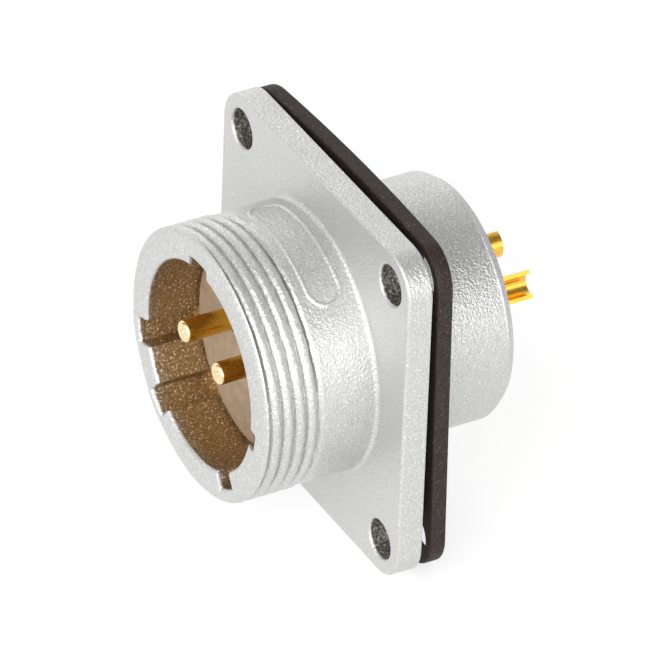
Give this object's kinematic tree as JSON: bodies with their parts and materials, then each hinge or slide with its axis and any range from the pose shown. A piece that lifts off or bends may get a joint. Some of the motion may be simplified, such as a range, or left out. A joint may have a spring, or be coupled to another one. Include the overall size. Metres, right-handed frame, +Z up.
{
  "type": "flange-mounted circular connector receptacle",
  "caption": "Square-flange circular receptacle with a threaded, keyed metal shell, gold pins in a brown insert, solder cups and a rubber panel gasket.",
  "frame": {"origin": "centre of the flange's front face, on the barrel's axis and in the middle of the four screw holes", "axes": "+Y is the barrel's axis, pointing rearwards through the panel to the solder cups; the mating side faces -Y; +Z is up and +X is to the right as the mating side is seen"},
  "size_m": [0.027, 0.0254, 0.027],
  "materials": {
    "plated_shell": "satin plated die casting, fine grain",
    "gasket_rubber": "matte, brownish black",
    "insulator": "matte moulded, taupe brown",
    "seal_rubber": "matte",
    "ring_steel": "plated spring steel",
    "gold_contact": "bright gold plated"
  },
  "bodies": {
    "root": {"shell": "plated_shell", "panel_gasket": "gasket_rubber", "front_insulator": "insulator", "insert_seal": "seal_rubber", "rear_insulator": "insulator", "retaining_ring": "ring_steel", "contact_1": "gold_contact", "contact_2": "gold_contact"}
  },
  "joints": []
}
